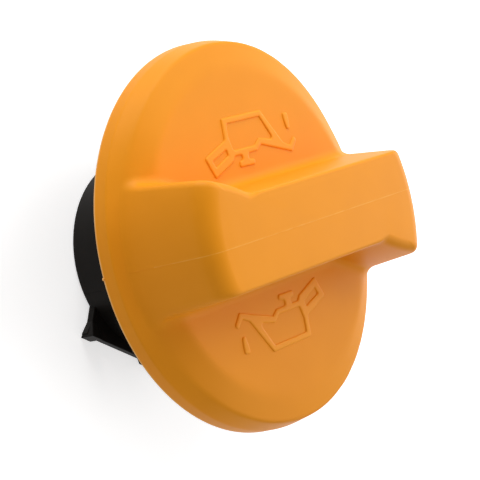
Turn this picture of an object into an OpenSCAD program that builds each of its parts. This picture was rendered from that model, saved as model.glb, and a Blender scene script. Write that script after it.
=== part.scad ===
// Oil filler cap of a car engine: a moulded cover with a finger grip, a bayonet
// body that snaps into it from behind, and a rubber sealing ring round the neck.
// The cap stands on the end of its neck. Its axis is Z and the grip lies along X.

/* [Cover] */
// Diameter of the cover over its rim
cover_d = 76; // [72:0.5:84]
// Straight height of the rim above its rear edge
rim_h = 3; // [2.6:0.1:4]
// Radius that the rim draws in over its straight height
rim_draft = 0.2; // [0:0.05:0.5]
// Rounding of the rear edge of the rim
rim_edge_r = 0.4; // [0.2:0.05:0.6]
// Width of the steep outer band, measured along the radius
outer_band_w = 2.1; // [1.8:0.1:2.8]
// Rise of the steep outer band
outer_band_h = 2.8; // [2.2:0.1:3.4]
// Width of the gentle inner band, measured along the radius
inner_band_w = 4.6; // [3.6:0.1:6]
// Rise of the gentle inner band
inner_band_h = 1.8; // [1.4:0.1:2.4]
// Distance that the crease between the bands is drawn in and down at the grip's ends
oval = 1; // [0:0.1:1.2]
// Softness of the crease round the flat face
face_blend_r = 4; // [2:0.5:8]
// Softness of the crease between the two bands
band_blend_r = 2; // [1:0.25:3]
// Wall thickness of the cover moulding
wall = 2.2; // [1.8:0.1:2.6]

/* [Grip] */
// Height of the grip above the flat face
grip_h = 13.9; // [11:0.1:17]
// Width of the grip across its straight middle, at the top
grip_w = 16.2; // [14:0.2:20]
// Distance that the grip's ends stop short of the rim, at the top
grip_inset = 5.9; // [5.4:0.1:7]
// Length of each hooked corner, from the kink in the flank to the end
hook_l = 14.3; // [12:0.1:16]
// Angle by which each hooked corner swings out
hook_angle = 30; // [22:1:34]
// Radius of the bowed flank of each hooked corner, seen from above
hook_r = 42; // [36:1:60]
// Rounding of the inner kink of a hooked corner, seen from above
kink_r = 5; // [2:0.5:7]
// Rounding of the grip's upright corners, seen from above
corner_r = 1.6; // [1.2:0.1:2.4]
// Draft of the long flanks, in degrees
side_draft = 5.5; // [3:0.5:7]
// Draft of the end faces, in degrees
end_draft = 9; // [6:0.5:11]
// Rounding of the top edges along the straight flanks
side_edge_r = 0.7; // [0.5:0.1:1.3]
// Rounding of the top edges along the hooked corners
hook_edge_r = 2; // [1:0.1:2.2]
// Rounding of the top edges at the ends
end_edge_r = 4.2; // [2.6:0.2:5]
// Reach of the blend at the foot of the flanks
foot_blend = 2; // [1:0.1:3]
// Height of the blend at the foot of the end faces
end_blend_h = 5; // [3:0.25:6]
// Reach of the blend at the foot of the end faces
end_blend_w = 1.2; // [0.8:0.1:1.4]
// Thickness of the stiffening webs across the hollow of the grip
web_t = 1.6; // [1.2:0.1:2.4]
// Distance between the two stiffening webs
web_pitch = 26; // [20:0.5:32]

/* [Snap fit] */
// Thickness of the round plate of the bayonet body
plate_t = 2.3; // [1.8:0.1:2.5]
// Clearance between the plate and the rim wall round it
plate_gap = 0.3; // [0.2:0.05:0.5]
// Distance that the snap lip reaches in from the rim wall
lip_w = 0.6; // [0.55:0.05:0.9]
// Height of the snap lip
lip_h = 0.6; // [0.4:0.05:0.7]
// Clearance between the plate and the snap lip behind it
lip_gap = 0.1; // [0.05:0.05:0.2]

/* [Bayonet body] */
// Length of the neck, from its end to the rear edge of the rim
neck_h = 25; // [20:0.5:32]
// Outside diameter of the neck
neck_d = 40; // [36:0.5:43]
// Wall thickness of the neck
neck_wall = 2.4; // [2:0.1:3]
// Rounding of the outer edge at the neck's end
neck_edge_r = 0.5; // [0.3:0.1:0.8]
// Thickness of the crossed webs inside the neck
cross_t = 1.8; // [1.4:0.1:2.4]
// Depth of the crossed webs inside the neck
cross_h = 9; // [6:0.5:14]
// Height of the driving key that reaches into the grip
key_h = 8; // [5:0.5:9]
// Length of the driving key along the grip
key_l = 34; // [26:0.5:38]
// Wall thickness of the driving key
key_wall = 1.8; // [1.4:0.1:2.4]
// Clearance between the driving key and the hollow of the grip
key_gap = 0.3; // [0.2:0.05:0.5]

/* [Lugs] */
// Direction of the flat outer face of the first lug, in degrees
lug_angle = 57; // [30:1:80]
// Distance that the flat of a lug stands out from the neck
lug_out = 1.6; // [1.2:0.1:2.4]
// Thickness of a lug along the neck
lug_t = 1.6; // [1.2:0.1:2.4]
// Distance from the middle of the flat to its end stop
lug_stop_y = 13.1; // [11:0.1:14]
// Distance from the middle of the flat to its leading end
lug_lead_y = 11; // [8:0.1:12]
// Length of the lead-in ramp
ramp_l = 5; // [3:0.25:6]
// Thickness of a lug at the tip of its lead-in ramp
ramp_tip_t = 0.7; // [0.4:0.1:1]
// Length of the end stop round the neck
stop_l = 2.6; // [2:0.1:3.4]
// Height of the end stop along the neck, at its outer corner
stop_h = 3.5; // [2.8:0.1:4.5]
// Distance that the end stop stands out beyond the flat
stop_out = 0.7; // [0.4:0.1:1.2]
// Lean of the end stop's face, in degrees
stop_lean = 17; // [6:1:20]
// Distance that the detent nib stands out beyond the flat
nib_out = 0.9; // [0.5:0.1:1.2]
// Width of the detent nib at its foot
nib_w = 2.4; // [1.6:0.1:3.6]
// Distance from the middle of the flat to the detent nib
nib_y = 3.6; // [2:0.1:5]

/* [Sealing ring] */
// Width of the ring, measured along the radius
ring_w = 5.6; // [4.6:0.1:6.4]
// Thickness of the ring
ring_t = 3.6; // [3:0.1:4.4]
// Clearance of the ring round the neck and inside its collar
ring_gap = 0.25; // [0.15:0.05:0.4]
// Rounding of the ring's corners
ring_edge_r = 0.8; // [0.5:0.1:1.2]
// Depth of the groove between the ring's two sealing lips
lip_groove_h = 0.7; // [0.4:0.1:1]
// Height of the collar that keeps the ring in its seat
collar_h = 1.6; // [1:0.1:2.2]
// Wall thickness of that collar
collar_t = 1.6; // [1.2:0.1:2]

/* [Hidden] */
$fn = 96;

// Overrun of every cut, so that no cut ends on a face
cut = 0.5;
// Overlap of two solids that are made one
sink = 0.06;
// Smallest rounding of the corners in the hollow of the grip
hollow_corner_r = 0.4;
// Straight pieces in a rounding, a soft crease, a corner and an end face of the grip
round_steps = 6;
crease_steps = 3;
corner_steps = 6;
end_steps = 12;
// Straight pieces along a flank, a kink and a hooked corner
flank_steps = 24;
kink_steps = 4;
hook_steps = 4;
// Rings of the loft over the top edge and over the foot blend
crown_rings = 8;
foot_rings = 6;
// Directions on the rim that the corners, kinks and ends of half the grip spread out to
rim_marks = [14, 21, 128, 135, 147, 158, 194];

cover_r = cover_d / 2;
rim_top_r = cover_r - rim_draft;
shoulder_r = rim_top_r - outer_band_w;
face_r = shoulder_r - inner_band_w;
shoulder_z = rim_h + outer_band_h;
face_z = shoulder_z + inner_band_h;
grip_z = face_z + grip_h;
seat_r = cover_r - rim_draft - wall;
plate_r = seat_r - plate_gap;
plate_z = rim_h;
plate_back_z = plate_z - plate_t;
ceiling_z = face_z - wall;

end_r = cover_r - grip_inset;
half_w = grip_w / 2;
kink_x = end_r - hook_l;

neck_r = neck_d / 2;
bore_r = neck_r - neck_wall;
flat_r = neck_r + lug_out;
ring_in_r = neck_r + ring_gap;
ring_out_r = ring_in_r + ring_w;
collar_in_r = ring_out_r + ring_gap;

// Plain geometry on points
function unit(v) = v / norm(v);
function turn(a) = a > 180 ? a - 360 : a < -180 ? a + 360 : a;
function heading(v) = atan2(v[1], v[0]);
function on_arc(c, r, a, sweep, steps) =
    [for (k = [0:steps]) let (t = a + sweep * k / steps) c + r * [cos(t), sin(t)]];

// One corner of an outline, rounded from the line to its left to the line to its right
function rounded_corner(before, p, after, r, steps) =
    r == 0 ? [p] :
    let (u = unit(before - p), v = unit(after - p), half = acos(u * v) / 2,
         c = p + unit(u + v) * r / sin(half),
         first = heading(p + u * r / tan(half) - c),
         last = heading(p + v * r / tan(half) - c))
    on_arc(c, r, first, turn(last - first), steps);

function rounded(points, radii, steps) =
    let (n = len(points))
    [for (i = [0:n - 1])
        each rounded_corner(points[(i + n - 1) % n], points[i], points[(i + 1) % n], radii[i], steps)];

// Outer section of the cover disc, from its centre out to the rear edge of the rim
disc_points = [[0, face_z], [face_r, face_z], [shoulder_r, shoulder_z],
               [rim_top_r, rim_h], [cover_r, 0], [0, 0]];
disc_radii = [0, face_blend_r, band_blend_r, band_blend_r / 2, rim_edge_r, 0];
disc_section = rounded(disc_points, disc_radii, crease_steps);
disc_surface = [for (p = disc_section) if (p[1] > rim_edge_r) p];
rim_section = [for (p = disc_section) if (p[0] > seat_r && p[1] <= rim_edge_r) p];

// The disc is not quite round: its shoulder is drawn in and down towards the grip's ends.
// A point of the even section, at a radius and a direction, goes to its place on the disc.
function draw(r, a) = oval * cos(2 * a) * max(0, min(1, (rim_top_r - r) / (rim_top_r - shoulder_r)));
function drop(r) = max(0, min(1, (r - face_r) / (shoulder_r - face_r)));
function on_disc(r, a) =
    let (out = r - draw(r, a) * min(r / shoulder_r, 1))
    [out * cos(a), out * sin(a), lookup(r, disc_surface) - draw(r, a) * drop(r)];

// The other way round: the radius in the even section of the disc's point above p
function even_radius(p) =
    let (r = norm([p[0], p[1]]), c = oval * cos(2 * heading(p)), inner = r / (1 - c / shoulder_r),
         k = c / (rim_top_r - shoulder_r))
    inner <= shoulder_r ? inner : min((r + k * rim_top_r) / (1 + k), rim_top_r);
function surface_z(p) = on_disc(even_radius(p), heading(p))[2];

// How far a drafted wall with a rounded top edge stands out at a depth below the top
function wall_out(depth, edge_r, draft) =
    depth < edge_r * (1 - sin(draft))
    ? edge_r * sin(acos(1 - depth / edge_r)) - edge_r * (cos(draft) - tan(draft) * (1 - sin(draft)))
    : depth * tan(draft);

// Half of the grip's outline: the corner over one end, the straight flank, the kink, the
// bowed flank with the hooked corner, and the round end face. The other half is the same,
// turned by 180.
function half_outline(side_out, end_out, r) =
    let (w = half_w + side_out, R = end_r + end_out, bow = hook_r + side_out,
         a = [sqrt(pow(R - r, 2) - pow(w - r, 2)), w - r],
         b = [-kink_x, half_w] - hook_r * [sin(hook_angle), cos(hook_angle)],
         k = [b[0] + sqrt(pow(bow + kink_r, 2) - pow(w + kink_r - b[1], 2)), w + kink_r],
         reach = (pow(R - r, 2) - pow(bow - r, 2) + b * b) / (2 * norm(b)),
         c = (b * reach + [b[1], -b[0]] * sqrt(pow(R - r, 2) - reach * reach)) / norm(b),
         from = heading(k - b), to = heading(c - b))
    concat(
        on_arc(a, r, heading(a), 90 - heading(a), corner_steps),
        [for (j = [1:flank_steps - 1]) [a[0] + (k[0] - a[0]) * j / flank_steps, w]],
        on_arc(k, kink_r, -90, heading(b - k) + 90, kink_steps),
        [for (j = [1:hook_steps - 1]) let (t = from + (to - from) * j / hook_steps)
            b + bow * [cos(t), sin(t)]],
        on_arc(c, r, to, heading(c) - to, corner_steps),
        [for (j = [1:end_steps - 1]) let (t = heading(c) + (180 + heading(a) - heading(c)) * j / end_steps)
            R * [cos(t), sin(t)]]);

// Values along a half outline that run from mark to mark; each list covers the whole grip
function spread(marks) = concat(
    [for (j = [0:corner_steps]) marks[0] + (marks[1] - marks[0]) * j / corner_steps],
    [for (j = [1:flank_steps - 1]) marks[1] + (marks[2] - marks[1]) * j / flank_steps],
    [for (j = [0:kink_steps]) marks[2] + (marks[3] - marks[2]) * j / kink_steps],
    [for (j = [1:hook_steps - 1]) marks[3] + (marks[4] - marks[3]) * j / hook_steps],
    [for (j = [0:corner_steps]) marks[4] + (marks[5] - marks[4]) * j / corner_steps],
    [for (j = [1:end_steps - 1]) marks[5] + (marks[6] - marks[5]) * j / end_steps]);
function twice(values, step) = concat(values, [for (v = values) v + step]);

end_share = twice(spread([1, 0, 0, 0, 0, 1, 1]), 0);
hook_share = twice(spread([0, 0, 0, 1, 1, 0, 0]), 0);
rim_turn = twice(spread(rim_marks), 180);
stations = len(rim_turn);

// The grip seen from above, at a depth below its top and a distance out from its walls
function outline(depth, edge_r, extra) =
    let (half = half_outline(wall_out(depth, edge_r, side_draft) + extra,
                             wall_out(depth, end_edge_r, end_draft) + extra,
                             max(corner_r + extra, hollow_corner_r)))
    concat(half, [for (p = half) -p]);

function grip_outline(depth, extra) =
    let (crisp = outline(depth, side_edge_r, extra), soft = outline(depth, hook_edge_r, extra))
    [for (i = [0:stations - 1]) crisp[i] + (soft[i] - crisp[i]) * hook_share[i]];

// The foot blend is a curve from the wall, past the corner, to the surface of the disc
nominal = grip_outline(grip_h, 0);
function wall_point(i, z, extra) =
    let (p = grip_outline(grip_z - z, extra)[i]) [p[0], p[1], z];

foot_table = [for (i = [0:stations - 1])
    let (share = end_share[i], z = surface_z(nominal[i]),
         rise = foot_blend + (end_blend_h - foot_blend) * share,
         reach = foot_blend + (end_blend_w - foot_blend) * share,
         toe = wall_point(i, z, reach))
    [wall_point(i, z + rise, 0), wall_point(i, z, 0), [toe[0], toe[1], surface_z(toe)]]];

function foot_ring(t) =
    [for (f = foot_table) (1 - t) * (1 - t) * f[0] + 2 * t * (1 - t) * f[1] + t * t * f[2]];

crown_depths = [for (k = [0:crown_rings])
    end_edge_r * (1 - cos((90 - end_draft) * k / crown_rings))];

// From the foot the rings run out over the disc and turn to their even places on the rim.
// They follow the creases of the disc, or keep even steps where the foot is already past one.
creases = len(disc_surface) - 1;
function disc_ring(j) = [for (i = [0:stations - 1])
    let (toe = foot_table[i][2], from = even_radius(toe), a = heading(toe),
         r = max(disc_surface[j][0], from + (rim_top_r - from) * j / creases))
    on_disc(r, a + turn(rim_turn[i] - a) * (r - from) / (rim_top_r - from))];

cover_rings = concat(
    [for (d = crown_depths) [for (p = grip_outline(d, 0)) [p[0], p[1], grip_z - d]]],
    [for (k = [0:foot_rings]) foot_ring(k / foot_rings)],
    [for (j = [1:creases]) disc_ring(j)],
    [for (p = rim_section) [for (a = rim_turn) [p[0] * cos(a), p[0] * sin(a), p[1]]]]);

// The hollow of the grip, one wall inside its outer faces
hollow_top_z = grip_z - wall;
hollow_depths = concat(
    [for (k = [0:2]) wall + (end_edge_r - wall) * (1 - cos(90 * k / 2))],
    [grip_z - plate_z - sink]);
hollow_rings = [for (d = hollow_depths)
    [for (p = grip_outline(d, -wall)) [p[0], p[1], grip_z - d]]];

// A flat cap over a ring of n stations, in strips from the middle of one end face to the
// middle of the other. The outline bends in at its kinks, where a plain fan would cross it.
function cap(n) = let (mid = n - end_steps / 2)
    [for (j = [0:n / 2 - 1])
        let (a = (mid + j) % n, b = (a + 1) % n, e = mid - j, d = e - 1)
        each [if (j > 0) [a, e, d], if (b != d) [a, d, b]]];

// A closed solid through rings that run from the top down
module loft(rings) {
    n = len(rings[0]);
    last = len(rings) - 1;
    polyhedron(
        points = [for (ring = rings) each ring],
        faces = concat(
            cap(n),
            [for (j = [0:last - 1]) for (i = [0:n - 1]) let (k = (i + 1) % n)
                each [[j * n + i, j * n + k, (j + 1) * n + k],
                      [j * n + i, (j + 1) * n + k, (j + 1) * n + i]]],
            [for (f = cap(n)) [for (k = [2:-1:0]) last * n + f[k]]]),
        convexity = 8);
}

// The disc is hollow behind: a seat for the plate, and a ceiling one wall under the face
module disc_hollow() {
    step_r = shoulder_r - wall / 2;
    rotate_extrude()
        polygon([[0, -cut], [seat_r, -cut], [seat_r, plate_z], [step_r, plate_z],
                 [face_r, ceiling_z], [0, ceiling_z]]);
}

// The snap lip is a barb round the rear edge of the rim wall
module snap_lip() {
    lip_top_z = plate_back_z - lip_gap;
    rotate_extrude()
        polygon([[seat_r + cut, lip_top_z], [seat_r - lip_w, lip_top_z],
                 [seat_r - lip_w, lip_top_z - lip_h / 3], [seat_r, lip_top_z - lip_h],
                 [seat_r + cut, lip_top_z - lip_h]]);
}

// A web that stiffens the grip: it ends inside the wall on each side and inside the roof
module grip_web() {
    foot_z = plate_z + key_h + key_gap;
    roof_z = grip_z - wall / 2;
    foot_w = half_w + (grip_z - foot_z) * tan(side_draft) - wall / 2;
    roof_w = half_w + (grip_z - roof_z) * tan(side_draft) - wall / 2;
    rotate([90, 0, 90])
        linear_extrude(height = web_t, center = true)
            polygon([[-foot_w, foot_z], [foot_w, foot_z], [roof_w, roof_z], [-roof_w, roof_z]]);
}

// One moulding: disc with two bands, rim, grip with hooked corners, webs and snap lip
module cover() {
    color("#F28C1E")
    translate([0, 0, neck_h]) {
        difference() {
            loft(cover_rings);
            disc_hollow();
            loft(hollow_rings);
        }
        snap_lip();
        for (side = [-1, 1]) translate([side * web_pitch / 2, 0, 0]) grip_web();
    }
}

// The driving key is a hollow box on the plate, that fills the foot of the grip's hollow
module driving_key() {
    key_top_z = plate_z + key_h;
    key_w = grip_w + 2 * (grip_z - key_top_z) * tan(side_draft) - 2 * wall - 2 * key_gap;
    translate([0, 0, plate_z + key_h / 2]) difference() {
        cube([key_l, key_w, key_h], center = true);
        for (side = [-1, 1])
            translate([side * (key_l - key_wall) / 4, 0, cut / 2])
                cube([(key_l - 3 * key_wall) / 2, key_w - 2 * key_wall, key_h + cut], center = true);
    }
}

// One lug in its own place: the flat faces +X and the end stop is at -Y
module lug() {
    root_x = bore_r + neck_wall / 2;
    lean_y = (flat_r - root_x) * tan(stop_lean);
    difference() {
        linear_extrude(height = lug_t)
            polygon([[root_x, -lug_stop_y + lean_y], [flat_r, -lug_stop_y],
                     [flat_r, lug_lead_y], [0, lug_lead_y], [0, -lug_stop_y + lean_y]]);
        translate([0, lug_lead_y, 0]) rotate([90, 0, 90])
            linear_extrude(height = flat_r + cut)
                polygon([[cut, ramp_tip_t - (lug_t - ramp_tip_t) * cut / ramp_l], [cut, lug_t + cut],
                         [-ramp_l, lug_t + cut], [-ramp_l, lug_t]]);
    }
    intersection() {
        linear_extrude(height = stop_h)
            polygon([[0, -lug_stop_y + lean_y], [root_x, -lug_stop_y + lean_y],
                     [flat_r + stop_out, -lug_stop_y], [flat_r + stop_out, -lug_stop_y + stop_l],
                     [0, -lug_stop_y + stop_l]]);
        rotate([90, 0, 0]) linear_extrude(height = 2 * lug_stop_y + cut, center = true)
            polygon([[0, 0], [flat_r + stop_out, 0], [flat_r + stop_out, stop_h],
                     [root_x, lug_t], [0, lug_t]]);
    }
    translate([flat_r, nib_y, 0]) linear_extrude(height = lug_t)
        polygon([[-cut, -nib_w / 2], [0, -nib_w / 2], [nib_out, -nib_w / 6],
                 [nib_out, nib_w / 6], [0, nib_w / 2], [-cut, nib_w / 2]]);
}

// One moulding: plate, driving key, hollow neck with crossed webs, ring collar and two lugs
module bayonet_body() {
    plate_bottom_z = neck_h + plate_back_z;
    plate_top_z = neck_h + plate_z;
    body_points = [[bore_r, 0], [neck_r, 0], [neck_r, plate_bottom_z],
                   [collar_in_r, plate_bottom_z], [collar_in_r, plate_bottom_z - collar_h],
                   [collar_in_r + collar_t, plate_bottom_z - collar_h],
                   [collar_in_r + collar_t, plate_bottom_z], [plate_r, plate_bottom_z],
                   [plate_r, plate_top_z], [0, plate_top_z], [0, plate_bottom_z], [bore_r, plate_bottom_z]];
    body_radii = [neck_edge_r, neck_edge_r, 0, 0, collar_t / 4, collar_t / 4, 0,
                  plate_gap, plate_gap, 0, 0, 0];
    color("#211E1F") {
        rotate_extrude() polygon(rounded(body_points, body_radii, round_steps));
        translate([0, 0, neck_h]) driving_key();
        for (a = [0, 90])
            rotate([0, 0, lug_angle + a])
                translate([-bore_r - neck_wall / 2, -cross_t / 2, plate_bottom_z - cross_h])
                    cube([2 * bore_r + neck_wall, cross_t, cross_h + plate_t / 2]);
        difference() {
            for (a = [0, 180]) rotate([0, 0, lug_angle + a]) lug();
            translate([0, 0, -cut])
                cylinder(r = bore_r + neck_wall / 2, h = stop_h + 2 * cut);
        }
    }
}

// A flat rubber ring with two sealing lips on the side that meets the filler neck
module sealing_ring() {
    seat_z = neck_h + plate_back_z;
    foot_z = seat_z - ring_t;
    mid_r = (ring_in_r + ring_out_r) / 2;
    ring_points = [[ring_in_r, seat_z], [ring_in_r, foot_z], [mid_r - lip_groove_h, foot_z],
                   [mid_r, foot_z + lip_groove_h], [mid_r + lip_groove_h, foot_z],
                   [ring_out_r, foot_z], [ring_out_r, seat_z]];
    ring_radii = [0, ring_edge_r, ring_edge_r / 2, lip_groove_h / 2, ring_edge_r / 2, ring_edge_r, 0];
    color("#161616")
    rotate_extrude() polygon(rounded(ring_points, ring_radii, round_steps));
}

cover();
bayonet_body();
sealing_ring();
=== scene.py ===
import math

import bmesh
import bpy
from mathutils import Matrix, Vector


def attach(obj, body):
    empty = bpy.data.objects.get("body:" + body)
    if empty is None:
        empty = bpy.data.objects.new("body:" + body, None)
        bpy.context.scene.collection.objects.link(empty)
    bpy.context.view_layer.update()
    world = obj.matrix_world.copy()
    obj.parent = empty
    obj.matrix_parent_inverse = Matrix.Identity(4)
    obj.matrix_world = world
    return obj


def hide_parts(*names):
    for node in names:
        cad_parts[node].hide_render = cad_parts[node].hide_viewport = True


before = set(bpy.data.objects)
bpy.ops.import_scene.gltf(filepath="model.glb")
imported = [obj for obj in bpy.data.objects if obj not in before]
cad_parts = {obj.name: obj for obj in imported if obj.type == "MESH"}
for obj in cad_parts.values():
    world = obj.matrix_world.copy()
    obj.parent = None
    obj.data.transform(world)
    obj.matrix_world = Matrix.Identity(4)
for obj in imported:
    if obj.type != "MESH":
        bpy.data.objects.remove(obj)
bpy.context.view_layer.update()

# Camera. It looks at the cover from the -X side and from above, rolled so that the grip
# climbs to the right, as in the photograph.
mm = 0.001
camera_data = bpy.data.cameras.new("camera")
camera_data.sensor_width = 36
camera_data.lens = 115.4
camera_data.clip_start = 10 * mm
camera_at = Vector((-226.49, 16.92, 217.16)) * mm
camera_right = Vector((0.614, -0.248, 0.749)).normalized()
camera_back = camera_right.cross(Vector((0.205, 0.967, 0.152))).normalized()
camera_up = camera_back.cross(camera_right)
camera = bpy.data.objects.new("camera", camera_data)
camera.matrix_world = Matrix.Translation(camera_at) @ Matrix(
    (camera_right, camera_up, camera_back)).transposed().to_4x4()
bpy.context.collection.objects.link(camera)
bpy.context.scene.camera = camera


# Cover. The real one is a single moulding in orange plastic with a fine spark-eroded grain: a
# two-step disc with a rim, an S-shaped finger grip, and two raised oil-can signs. It snaps
# over the plate of the bayonet body, and its mould left a fine line over the grip's ends.
class Shade:
    """One output of a shader node. An expression on shades adds its own Math nodes."""

    def __init__(self, tree, socket):
        self.tree = tree
        self.socket = socket

    def node(self, kind, inputs, output=0, stops=(), **settings):
        """A new node: its settings and ramp stops, then the values or links of its sockets."""
        made = self.tree.nodes.new("ShaderNode" + kind)
        for name, value in settings.items():
            setattr(made, name, value)
        for stop, (place, colour) in zip(made.color_ramp.elements if stops else (), stops):
            stop.position = place
            stop.color = (*colour, 1)
        for name, value in inputs.items():
            if isinstance(value, Shade):
                self.tree.links.new(value.socket, made.inputs[name])
            else:
                made.inputs[name].default_value = value
        return Shade(self.tree, made.outputs[output])

    def maths(self, operation, *terms):
        return self.node("Math", dict(enumerate(terms)), operation=operation)

    def fade(self, whole, none):
        """1 where the value is at or past whole, falling to 0 at none."""
        return self.node("MapRange", {0: self, 1: whole, 2: none, 3: 1.0, 4: 0.0})

    def towards(self, colour, share):
        """The colour, moved towards another one by a share from 0 to 1."""
        return self.node("Mix", {0: share, 6: self, 7: colour}, output=2, data_type="RGBA")

    def __add__(self, other):
        return self.maths("ADD", self, other)

    def __sub__(self, other):
        return self.maths("SUBTRACT", self, other)

    def __rsub__(self, other):
        return self.maths("SUBTRACT", other, self)

    def __mul__(self, other):
        return self.maths("MULTIPLY", self, other)

    def __gt__(self, other):
        return self.maths("GREATER_THAN", self, other)

    def __lt__(self, other):
        return self.maths("LESS_THAN", self, other)

    def __abs__(self):
        return self.maths("ABSOLUTE", self)

    __radd__ = __add__
    __rmul__ = __mul__


def new_material(name, finish):
    """A material with the surface shader that finish gives for place, the point on the object."""
    material = bpy.data.materials.new(name)
    material.use_nodes = True
    tree = material.node_tree
    tree.nodes.clear()
    place = Shade(tree, tree.nodes.new("ShaderNodeTexCoord").outputs["Object"])
    output = tree.nodes.new("ShaderNodeOutputMaterial")
    tree.links.new(finish(place).socket, output.inputs["Surface"])
    return material


def noise(place, size, detail=2.0):
    """Soft noise from 0 to 1 whose lumps are about size metres across."""
    return place.node("TexNoise", {"Vector": place, "Scale": 1 / size, "Detail": detail})


def cloudy(cloud, dark, pale):
    """A colour that drifts between a dark and a pale one with a cloud of noise."""
    return cloud.node("ValToRGB", {"Fac": cloud}, stops=((0.3, dark), (0.7, pale)))


def orange_plastic(place):
    grain = noise(place, 0.22 * mm, 1.0)
    wave = noise(place, 5 * mm)
    cloud = noise(place, 14 * mm)
    tint = cloudy(cloud, (0.87, 0.300, 0.004), (0.91, 0.320, 0.008))
    along, across, height = (
        place.node("SeparateXYZ", {"Vector": place}, output=k) for k in range(3))
    flat = place.node("VectorMath", {0: place, 1: (1.0, 1.0, 0.0)}, operation="MULTIPLY")
    out = place.node("VectorMath", {0: flat}, output=1, operation="LENGTH")
    beside, aside = abs(along), abs(across)

    # Where the mould parts meet over the grip, the plastic is nipped and paler, more here, less
    # there.
    # Round the rim's rear edge a pale cream line is a painted highlight: the light its rounding
    # catches.
    nipped, rim_edge_painted_highlight = (0.95, 0.43, 0.06, 1), (0.97, 0.58, 0.22, 1)
    line_core, line_edge, line_foot = 0.03 * mm, 0.12 * mm, 9 * mm
    rear_core, rear_edge, rear_depth = 0.3 * mm, 0.6 * mm, 0.4 * mm
    over_grip = aside.fade(line_core, line_edge) * (height > rear_z + line_foot)
    rim_edge_highlight_mask = height.fade(rear_z + rear_core, rear_z + rear_edge) * (out > rim_r - rear_depth)
    broken = 1 - 0.75 * noise(place, 2.5 * mm).fade(0.35, 0.6)
    tint = tint.towards(nipped, over_grip * broken)
    # Painted highlight: the rim's rear edge is painted pale cream, broken up a little.
    tint = tint.towards(rim_edge_painted_highlight, rim_edge_highlight_mask * (0.5 + 0.5 * broken))

    # The signs' tops are painted a little paler, a painted sheen on the raised strokes.
    sign_tops_painted_sheen = (0.95, 0.350, 0.014, 1)
    sign_foot, sign_top, sign_over = 0.1 * mm, 0.5 * mm, 0.6 * mm
    sign_inner_y, sign_outer_x = 11.2 * mm, 16.5 * mm
    on_sign = (height > face_z + sign_foot) * (aside > sign_inner_y) * (beside < sign_outer_x)
    # Painted sheen: the raised strokes' tops get the paler colour.
    tint = tint.towards(sign_tops_painted_sheen, on_sign * height.fade(face_z + sign_top, face_z + sign_over))

    relief = place.node("Bump", {
        "Height": grain + wave * 0.6, "Strength": 0.25, "Distance": 0.03 * mm})
    return place.node("BsdfPrincipled", {
        "Base Color": tint, "Roughness": 0.42 + 0.10 * cloud + 0.06 * grain, "Normal": relief,
        "Specular IOR Level": 0.18})


def arc(centre, radius, start, sweep, steps):
    """Points along an arc in a plane, its angles in degrees."""
    angles = [math.radians(start + sweep * k / steps) for k in range(steps + 1)]
    return [centre + radius * Vector((math.cos(a), math.sin(a))) for a in angles]


def heading(v):
    """The direction of a vector in the plane, in degrees."""
    return math.degrees(math.atan2(v.y, v.x))


def rounded(corners, steps, closed=False):
    """A line through (x, y, radius) corners, each rounded by its radius."""
    line = []
    count = len(corners)
    for k, (x, y, radius) in enumerate(corners):
        at = Vector((x, y))
        if not radius or (not closed and k in (0, count - 1)):
            line.append(at)
            continue
        before = (Vector(corners[k - 1][:2]) - at).normalized()
        after = (Vector(corners[(k + 1) % count][:2]) - at).normalized()
        half = before.angle(after) / 2
        centre = at + (before + after).normalized() * (radius / math.sin(half))
        first = heading(at + before * (radius / math.tan(half)) - centre)
        last = heading(at + after * (radius / math.tan(half)) - centre)
        line += arc(centre, radius, first, (last - first + 180) % 360 - 180, steps)
    return line


# The disc: rim, two bands with a shoulder between them, face, the seat of the body's plate
# and the snap lip behind it. The shoulder is a little oval.
rim_r, rim_h, wall = 38 * mm, 3 * mm, 2.2 * mm
rear_z = 25 * mm
band_r = 37.8 * mm
shoulder_r, shoulder_z = 35.7 * mm, rear_z + 5.8 * mm
face_r, face_z = 31.1 * mm, rear_z + 7.6 * mm
oval = 1 * mm
seat_r, seat_z = 35.6 * mm, rear_z + rim_h
ceiling_r, ceiling_z = shoulder_r - wall / 2, face_z - wall
lip_r, lip_z, lip_h = 35.0 * mm, rear_z + 0.6 * mm, 0.2 * mm

# The grip: straight middle, a kink to a bowed flank that ends in a hook, drafted walls, edges
# that go from crisp to soft, and a foot that flows into the disc.
grip_h, grip_half_w, grip_end_r = 13.9 * mm, 8.1 * mm, 32.1 * mm
grip_z = face_z + grip_h
kink_x, kink_r, corner_r, least_corner_r = 17.8 * mm, 5 * mm, 1.6 * mm, 0.4 * mm
hook_r, hook_angle = 42 * mm, math.radians(30)
side_draft, end_draft = math.radians(5.5), math.radians(9)
side_edge_r, hook_edge_r, end_edge_r = 0.7 * mm, 2 * mm, 4.2 * mm
side_foot, end_foot_h, end_foot_w = 2 * mm, 5 * mm, 1.2 * mm

# Stations along half of the grip's outline: corner, flank, kink, hook, corner, end face.
corner_steps, flank_steps, kink_steps, hook_steps, end_steps = 10, 56, 10, 8, 26


def wall_out(depth, edge_r, draft):
    """How far a drafted wall with a rounded top edge stands out at a depth below the top."""
    if depth < edge_r * (1 - math.sin(draft)):
        return edge_r * math.sin(math.acos(1 - depth / edge_r)) - edge_r * (
            math.cos(draft) - math.tan(draft) * (1 - math.sin(draft)))
    return depth * math.tan(draft)


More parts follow.
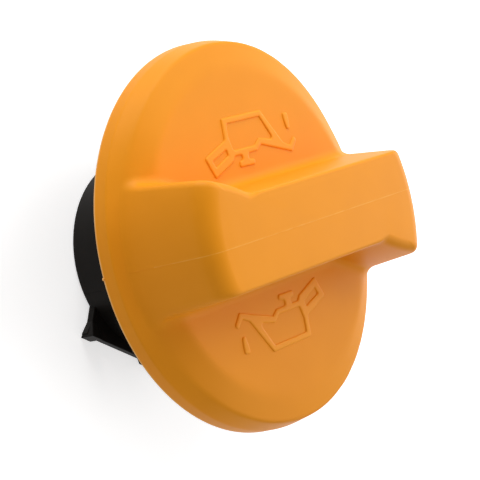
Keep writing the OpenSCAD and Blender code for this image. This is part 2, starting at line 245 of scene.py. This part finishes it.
def outline(depth, edge_r, extra):
    """The grip seen from above, at a depth below its top and a distance out from its wall."""
    side_out = wall_out(depth, edge_r, side_draft) + extra
    w, r = grip_half_w + side_out, max(corner_r + extra, least_corner_r)
    big = grip_end_r + wall_out(depth, end_edge_r, end_draft) + extra
    first = Vector((math.sqrt((big - r) ** 2 - (w - r) ** 2), w - r))
    bow = hook_r + side_out
    bow_at = Vector((-kink_x, grip_half_w)) - hook_r * Vector(
        (math.sin(hook_angle), math.cos(hook_angle)))
    kink_y = w + kink_r
    kink = Vector((bow_at.x + math.sqrt((bow + kink_r) ** 2 - (kink_y - bow_at.y) ** 2), kink_y))
    away = bow_at.length
    reach = ((big - r) ** 2 - (bow - r) ** 2 + away ** 2) / (2 * away)
    across = Vector((bow_at.y, -bow_at.x)) / away
    hook = bow_at * reach / away + across * math.sqrt((big - r) ** 2 - reach ** 2)
    first_turn, hook_turn = heading(first), heading(hook)
    bow_start, bow_end = heading(kink - bow_at), heading(hook - bow_at)
    half = arc(first, r, first_turn, 90 - first_turn, corner_steps)
    half += [Vector((first.x, w)).lerp(Vector((kink.x, w)), k / flank_steps)
             for k in range(1, flank_steps)]
    half += arc(kink, kink_r, -90, heading(bow_at - kink) + 90, kink_steps)
    half += arc(bow_at, bow, bow_start, bow_end - bow_start, hook_steps)[1:-1]
    half += arc(hook, r, bow_end, hook_turn - bow_end, corner_steps)
    half += arc(Vector((0, 0)), big, hook_turn, 180 + first_turn - hook_turn, end_steps)[1:-1]
    return half + [-p for p in half]


# How much of each station belongs to an end face, and how much to a hooked flank.
corner_on = [k / corner_steps for k in range(corner_steps + 1)]
corner_off = [1 - share for share in corner_on]
kink_on = [k / kink_steps for k in range(kink_steps + 1)]
end_shares = (corner_off + [0] * (flank_steps + kink_steps + hook_steps - 1)
              + corner_on + [1] * (end_steps - 1)) * 2
hook_shares = ([0] * (corner_steps + flank_steps) + kink_on
               + [1] * (hook_steps - 1) + corner_off + [0] * (end_steps - 1)) * 2
stations = len(end_shares)


def grip_outline(depth, extra=0.0):
    """The same with crisp straight flanks and softer hooked ones."""
    return [a.lerp(b, share) for a, b, share in zip(
        outline(depth, side_edge_r, extra), outline(depth, hook_edge_r, extra), hook_shares)]


# Where each station's line from the grip's foot meets the rim, in degrees.
half_turns = []
for steps, first, last, whole in (
        (corner_steps, 14, 21, True), (flank_steps, 21, 128, False),
        (kink_steps, 128, 135, True), (hook_steps, 135, 147, False),
        (corner_steps, 147, 158, True), (end_steps, 158, 194, False)):
    inside = range(steps + 1) if whole else range(1, steps)
    half_turns += [first + (last - first) * k / steps for k in inside]
rim_turns = half_turns + [a + 180 for a in half_turns]

# The section of the disc, from the middle of the face over the rim and back under it, as
# corners with their roundings.
face_edge_r, shoulder_edge_r, band_edge_r = 4 * mm, 2 * mm, 1 * mm
rim_edge_r, seat_edge_r, lip_edge_r = 0.4 * mm, 0.2 * mm, 0.1 * mm
edge_steps, hair = 10, 0.001 * mm
section = rounded([
    (0, face_z, 0), (face_r, face_z, face_edge_r), (shoulder_r, shoulder_z, shoulder_edge_r),
    (band_r, rear_z + rim_h, band_edge_r), (rim_r, rear_z, rim_edge_r),
    (seat_r, rear_z, seat_edge_r), (lip_r, lip_z - lip_h, lip_edge_r), (lip_r, lip_z, 0),
    (seat_r, lip_z, 0), (seat_r, seat_z, seat_edge_r), (ceiling_r, seat_z, 0),
    (face_r, ceiling_z, 0), (0, ceiling_z, 0)], edge_steps)
travel = [0.0]
for p, q in zip(section, section[1:]):
    travel.append(travel[-1] + (q - p).length)
rim_start = next(k for k, p in enumerate(section) if p.y < rear_z + rim_h)
seat_end = max(k for k, p in enumerate(section) if abs(p.y - seat_z) < hair)


def along_section(s):
    """Radius and height of the disc at a distance along its section."""
    k = max(1, next((k for k, t in enumerate(travel) if t >= s), len(travel) - 1))
    share = (s - travel[k - 1]) / (travel[k] - travel[k - 1])
    return section[k - 1].lerp(section[k], share)


def travel_at(radius, upper):
    """Distance along the section at which the outer or the inner side has a radius."""
    span = range(1, rim_start + 1) if upper else range(seat_end + 1, len(section))
    for k in span:
        a, b = section[k - 1].x, section[k].x
        if min(a, b) <= radius <= max(a, b):
            return travel[k - 1] + (travel[k] - travel[k - 1]) * (radius - a) / (b - a)
    return travel[rim_start] if upper else travel[seat_end]


def lift(p, z):
    """The point at height z over a point of the plane."""
    return Vector((p.x, p.y, z))


def sway(radius, turn, upper):
    """How far the shoulder is drawn in and down: most at the grip's ends, least between them."""
    band = (band_r - max(radius, shoulder_r)) / (band_r - shoulder_r)
    return oval * math.cos(2 * turn) * min(max(band, 0), 1) * upper


def on_disc(p, turn, upper=True):
    """The point of the disc at a turn, for a point of its even section."""
    drawn = sway(p.x, turn, upper)
    sunk = min(max((p.x - face_r) / (shoulder_r - face_r), 0), 1)
    r = p.x - drawn * min(p.x / shoulder_r, 1)
    return Vector((r * math.cos(turn), r * math.sin(turn), p.y - drawn * sunk))


def even_radius(x, y):
    """The radius in the even section of the point of the disc's outer side above (x, y)."""
    r, c = math.hypot(x, y), oval * math.cos(2 * math.atan2(y, x))
    inner = r / (1 - c / shoulder_r)
    if inner <= shoulder_r:
        return inner
    c /= band_r - shoulder_r
    return min((r + c * band_r) / (1 + c), band_r)


def disc_z(x, y):
    """The height of the disc's outer side above (x, y)."""
    turn = math.atan2(y, x)
    return on_disc(along_section(travel_at(even_radius(x, y), True)), turn).z


def disc_points(feet, share, upper):
    """The stations' points on the disc, a share of the way from the grip's feet to the rim."""
    points = []
    goal = travel[rim_start] if upper else travel[seat_end]
    for foot, turn in zip(feet, rim_turns):
        s = travel_at(even_radius(foot.x, foot.y) if upper else math.hypot(foot.x, foot.y), upper)
        here = along_section(s + (goal - s) * share)
        from_turn = heading(foot) + 360 * round((turn - heading(foot)) / 360)
        angle = math.radians(from_turn + (turn - from_turn) * share)
        points.append(on_disc(here, angle, upper))
    return points


def crown_depth(k, steps):
    """The depth below the grip's top at step k of the way down its ends' rounded edge."""
    return end_edge_r * (1 - math.cos((math.pi / 2 - end_draft) * k / steps))


# The cover's rings of points, one after the other: down the grip's edge and walls, ...
rings = []
crown_rings, wall_rings, foot_rings = 16, 3, 10
for k in range(crown_rings + 1):
    depth = crown_depth(k, crown_rings)
    rings.append([lift(p, grip_z - depth) for p in grip_outline(depth)])

meet_z = [disc_z(p.x, p.y) for p in grip_outline(grip_h)]
foot_start, foot_corner, foot_toe = [], [], []
for k, (z, share) in enumerate(zip(meet_z, end_shares)):
    rise = side_foot + (end_foot_h - side_foot) * share
    reach = side_foot + (end_foot_w - side_foot) * share
    toe = grip_outline(grip_z - z, reach)[k]
    foot_start.append(lift(grip_outline(grip_z - z - rise)[k], z + rise))
    foot_corner.append(lift(grip_outline(grip_z - z)[k], z))
    foot_toe.append(lift(toe, disc_z(toe.x, toe.y)))
for k in range(1, wall_rings):
    rings.append([a.lerp(b, k / wall_rings) for a, b in zip(rings[crown_rings], foot_start)])
for k in range(foot_rings + 1):
    t = k / foot_rings
    rings.append([a.lerp(b, t).lerp(b.lerp(c, t), t)
                  for a, b, c in zip(foot_start, foot_corner, foot_toe)])

# ... out over the disc, closer together towards the rim, round it and in to the seat, ...
disc_rings, disc_ease = 46, 1.5
for k in range(1, disc_rings + 1):
    rings.append(disc_points(foot_toe, 1 - (1 - k / disc_rings) ** disc_ease, True))
for p in section[rim_start + 1:seat_end + 1]:
    rings.append([Vector((p.x * math.cos(a), p.x * math.sin(a), p.y))
                  for a in map(math.radians, rim_turns)])

# ... and inside, in under the disc and up into the hollow of the grip.
ceiling_rings, hollow_rings = 6, 4
hollow_feet = []
for k in range(stations):
    guess = grip_outline(grip_z - ceiling_z, -wall)[k]
    z = along_section(travel_at(min(guess.length, ceiling_r), False)).y
    hollow_feet.append(lift(grip_outline(grip_z - z, -wall)[k], z))
for k in reversed(range(ceiling_rings)):
    rings.append(disc_points(hollow_feet, k / ceiling_rings, False))
for k in reversed(range(hollow_rings)):
    depth = wall + (grip_z - ceiling_z - wall) * (k / hollow_rings) ** 2
    rings.append([lift(p, grip_z - depth) for p in grip_outline(depth, -wall)])

cover_mesh = bmesh.new()
bmesh.ops.create_circle(cover_mesh, segments=stations, radius=mm)
ring = list(cover_mesh.verts)
for vertex, point in zip(ring, rings[0]):
    vertex.co = point
cover_mesh.faces.new(ring)
for points in rings[1:]:
    edges = [cover_mesh.edges.get(pair) for pair in zip(ring, ring[1:] + ring[:1])]
    made = bmesh.ops.extrude_edge_only(cover_mesh, edges=edges)
    fresh = {v for v in made["geom"] if isinstance(v, bmesh.types.BMVert)}
    ring = [next(e.other_vert(v) for e in v.link_edges if e.other_vert(v) in fresh) for v in ring]
    for vertex, point in zip(ring, points):
        vertex.co = point
cover_mesh.faces.new(ring)
bmesh.ops.recalc_face_normals(cover_mesh, faces=cover_mesh.faces)


def curve_mesh(curve):
    """The mesh of a curve with its round edge or section."""
    holder = bpy.data.objects.new(curve.name, curve)
    bpy.context.collection.objects.link(holder)
    shown = holder.evaluated_get(bpy.context.evaluated_depsgraph_get())
    mesh = bpy.data.meshes.new_from_object(shown)
    bpy.data.objects.remove(holder)
    return mesh


# Each oil can is drawn in raised strokes: can, spout, filler knob and handle, and one drop.
# The points and the corners' roundings are in millimetres.
sign_outline = [
    (-5.2, 22.4), (6.8, 22.4), (11.5, 15.3), (13.4, 14.4), (15.1, 15.9), (15.9, 15.2),
    (13.8, 13.0), (4.6, 15.9), (3.1, 14.9), (0.3, 14.9), (0.1, 13.8), (2.0, 13.6),
    (1.5, 12.5), (-3.1, 12.6), (-2.8, 13.8), (-1.8, 13.9), (-1.6, 14.9), (-3.8, 14.9),
    (-4.5, 14.0), (-10.6, 11.7), (-12.4, 15.9), (-5.7, 18.3)]
sign_can_hole = [
    (-4.0, 21.2), (6.1, 21.2), (8.8, 16.3), (4.4, 17.3), (2.8, 16.1), (-3.8, 16.1), (-4.3, 18.6)]
sign_handle_hole = [(-5.9, 16.5), (-5.7, 15.4), (-9.8, 13.8), (-10.4, 15.0)]
sign_drop = [(13.4, 20.9), (15.0, 20.7), (15.0, 19.2), (14.65, 17.5), (13.7, 17.5), (13.4, 19.4)]
sign_corner, handle_corner, sign_corner_steps = 0.45, 0.2, 4
sign_h, sign_edge = 0.24 * mm, 0.42 * mm
sign_curve = bpy.data.curves.new("sign", "CURVE")
sign_curve.dimensions = "2D"
sign_curve.fill_mode = "BOTH"
for loop, corner in ((sign_outline, sign_corner), (sign_can_hole, sign_corner),
                     (sign_handle_hole, handle_corner), (sign_drop, sign_corner)):
    line = rounded([(x, y, corner) for x, y in loop], sign_corner_steps, closed=True)
    spline = sign_curve.splines.new("POLY")
    spline.points.add(len(line) - 1)
    for point, p in zip(spline.points, line):
        point.co = (p.x * mm, p.y * mm, 0, 1)
    spline.use_cyclic_u = True
sign_curve.bevel_depth = sign_edge
sign_curve.bevel_resolution = 4
sign_curve.offset = -sign_edge
sign_mesh = curve_mesh(sign_curve)
for turn in (0, math.pi):
    placed = sign_mesh.copy()
    placed.transform(Matrix.Translation((0, 0, face_z)) @ Matrix.Rotation(turn, 4, "Z")
                     @ Matrix.Diagonal((1, 1, sign_h / sign_edge, 1)))
    cover_mesh.from_mesh(placed)


def add_thread(mesh, path, radius):
    """Adds a round thread of plastic along a path to a mesh."""
    curve = bpy.data.curves.new("thread", "CURVE")
    curve.dimensions = "3D"
    spline = curve.splines.new("POLY")
    spline.points.add(len(path) - 1)
    for point, p in zip(spline.points, path):
        point.co = (*p, 1)
    curve.bevel_depth = radius
    curve.bevel_resolution = 2
    curve.use_fill_caps = True
    mesh.from_mesh(curve_mesh(curve))


# The mould's parting line is a thread of plastic that runs over both ends of the grip.
seam_r, seam_sunk, seam_steps = 0.06 * mm, 0.035 * mm, 12
half_seam = []
for k in range(seam_steps + 1):
    depth = crown_depth(k, seam_steps)
    end_x = grip_end_r + wall_out(depth, end_edge_r, end_draft) - seam_sunk
    half_seam.append(Vector((end_x, 0, grip_z - depth - seam_sunk)))
end_station = max(range(stations), key=lambda k: rings[0][k].x)
last_wall_ring = crown_rings + wall_rings - 1
for points in rings[last_wall_ring:last_wall_ring + foot_rings + 1]:
    foot = points[end_station]
    half_seam.append(Vector((foot.xy.length - seam_sunk, 0, foot.z)))
add_thread(cover_mesh, [Vector((-p.x, 0, p.z)) for p in reversed(half_seam)] + half_seam, seam_r)

# A speck of flash stands on the rim's rear edge, in line with the parting line.
flash_r, flash_sunk = 0.3 * mm, 0.05 * mm
bmesh.ops.create_icosphere(
    cover_mesh, subdivisions=2, radius=flash_r,
    matrix=Matrix.Translation((-rim_r + flash_sunk, 0, rear_z + flash_r)))


def moulding(name, mesh, material, crisp):
    """The piece of a finished mesh, smooth but for edges that turn by more than crisp."""
    data = bpy.data.meshes.new(name)
    mesh.to_mesh(data)
    mesh.free()
    data.shade_smooth()
    data.set_sharp_from_angle(angle=crisp)
    data.materials.append(material)
    piece = bpy.data.objects.new(name, data)
    bpy.context.collection.objects.link(piece)
    return piece


cover = moulding("cover_shell", cover_mesh,
                 new_material("orange_plastic_grained", orange_plastic), math.radians(50))
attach(cover, "root")
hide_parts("cover")


# Bayonet body. One moulding in black plastic: the plate that snaps into the cover, the neck
# with its crossed webs, the collar that holds the sealing ring, and two lugs with end stops.
def black_plastic(place):
    grain = noise(place, 0.3 * mm, 1.0)
    cloud = noise(place, 9 * mm)
    relief = place.node("Bump", {"Height": grain, "Strength": 0.15, "Distance": 0.02 * mm})
    tint = cloudy(cloud, (0.008, 0.0065, 0.0055), (0.012, 0.010, 0.0085))
    return place.node("BsdfPrincipled", {
        "Base Color": tint, "Roughness": 0.36 + 0.14 * cloud, "Normal": relief,
        "Specular IOR Level": 0.06})


# A merged copy of the solid has the crisp edges of its lugs, collar and plate rounded a little.
weld, flat_angle, sliver = 0.002 * mm, math.radians(0.5), 0.005 * mm
body_edge_r, crisp_angle = 0.12 * mm, math.radians(30)
body_mesh = bmesh.new()
body_mesh.from_mesh(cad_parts["bayonet_body"].data)
bmesh.ops.remove_doubles(body_mesh, verts=body_mesh.verts, dist=weld)
bmesh.ops.dissolve_limit(
    body_mesh, angle_limit=flat_angle, verts=body_mesh.verts, edges=body_mesh.edges)
body_mesh.normal_update()
crisp_edges = [e for e in body_mesh.edges if e.is_convex and e.calc_face_angle(0) > crisp_angle]
bmesh.ops.bevel(
    body_mesh, geom=crisp_edges, offset=body_edge_r, offset_type="OFFSET", segments=2,
    profile=0.5, affect="EDGES", material=-1, clamp_overlap=False)
bmesh.ops.dissolve_degenerate(body_mesh, dist=sliver, edges=body_mesh.edges)

# The two slides that shape the neck leave a parting line on each side of it.
neck_r, slide_turn, slide_z = 20 * mm, math.radians(11), (0.5, 8, 15, 21)
slide_line_r, slide_line_sunk = 0.08 * mm, 0.03 * mm
for turn in (slide_turn, slide_turn + math.pi):
    on_neck = Vector((math.cos(turn), math.sin(turn), 0)) * (neck_r - slide_line_sunk)
    add_thread(body_mesh, [on_neck + Vector((0, 0, z * mm)) for z in slide_z], slide_line_r)

body = moulding("bayonet_moulding", body_mesh,
                new_material("black_plastic_satin", black_plastic), math.radians(20))
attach(body, "root")
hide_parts("bayonet_body")


# Sealing ring. Moulded black rubber with two sealing lips, stretched over the neck and held
# in its seat by the collar of the bayonet body.
def seal_rubber(place):
    grain = noise(place, 0.2 * mm)
    cloud = noise(place, 4 * mm)
    relief = place.node("Bump", {"Height": grain, "Strength": 0.2, "Distance": 0.02 * mm})
    tint = cloudy(cloud, (0.018, 0.018, 0.018), (0.026, 0.026, 0.025))
    return place.node("BsdfPrincipled", {
        "Base Color": tint, "Roughness": 0.62 + 0.16 * cloud, "Normal": relief, "IOR": 1.5})


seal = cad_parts["sealing_ring"]
seal.data.materials.clear()
seal.data.materials.append(new_material("seal_rubber_dull", seal_rubber))


# Floor and studio light. A white floor keeps the cap's shadow, four soft round lamps light
# it from above and from its +X and +Y sides, and the surround is plain white.
def white_floor(place):
    paper = place.node("BsdfDiffuse", {"Color": (0.8, 0.8, 0.8, 1)})
    bright = place.node("AddShader", {0: paper, 1: place.node("Emission", {"Strength": 0.6})})
    seen, mirrored, through = (
        place.node("LightPath", {}, output=name)
        for name in ("Is Camera Ray", "Is Glossy Ray", "Is Transmission Ray"))
    return place.node("MixShader", {"Fac": seen + mirrored + through, 1: paper, 2: bright})


floor_half = 3
floor_mesh = bmesh.new()
bmesh.ops.create_grid(floor_mesh, x_segments=1, y_segments=1, size=floor_half)
floor_data = bpy.data.meshes.new("floor")
floor_mesh.to_mesh(floor_data)
floor_mesh.free()
floor = bpy.data.objects.new("floor", floor_data)
bpy.context.collection.objects.link(floor)
floor_data.materials.append(new_material("white_floor", white_floor))

lamp_width, lamp_away, lamp_aim = 0.5, 0.8, Vector((0, 0, 30 * mm))
for name, direction, power in (
        ("key", (0.5, 0.5, 0.7), 2.05), ("top", (0, 0.95, 0.3), 3.7),
        ("side", (0.95, 0, 0.3), 1.85), ("fill", (0.5, -0.5, 0.7), 1.1)):
    lamp_data = bpy.data.lights.new(name, "AREA")
    lamp_data.shape = "DISK"
    lamp_data.size = lamp_width
    lamp_data.energy = power
    lamp = bpy.data.objects.new(name, lamp_data)
    towards_lamp = Vector(direction).normalized()
    lamp.rotation_mode = "QUATERNION"
    lamp.rotation_quaternion = towards_lamp.to_track_quat("Z", "Y")
    lamp.location = lamp_aim + towards_lamp * lamp_away
    bpy.context.collection.objects.link(lamp)

world = bpy.data.worlds.new("surround")
bpy.context.scene.world = world
world.use_nodes = True
surround = world.node_tree.nodes["Background"].inputs
surround["Color"].default_value = (1, 1, 1, 1)
surround["Strength"].default_value = 0.415
bpy.context.scene.view_settings.view_transform = "Standard"
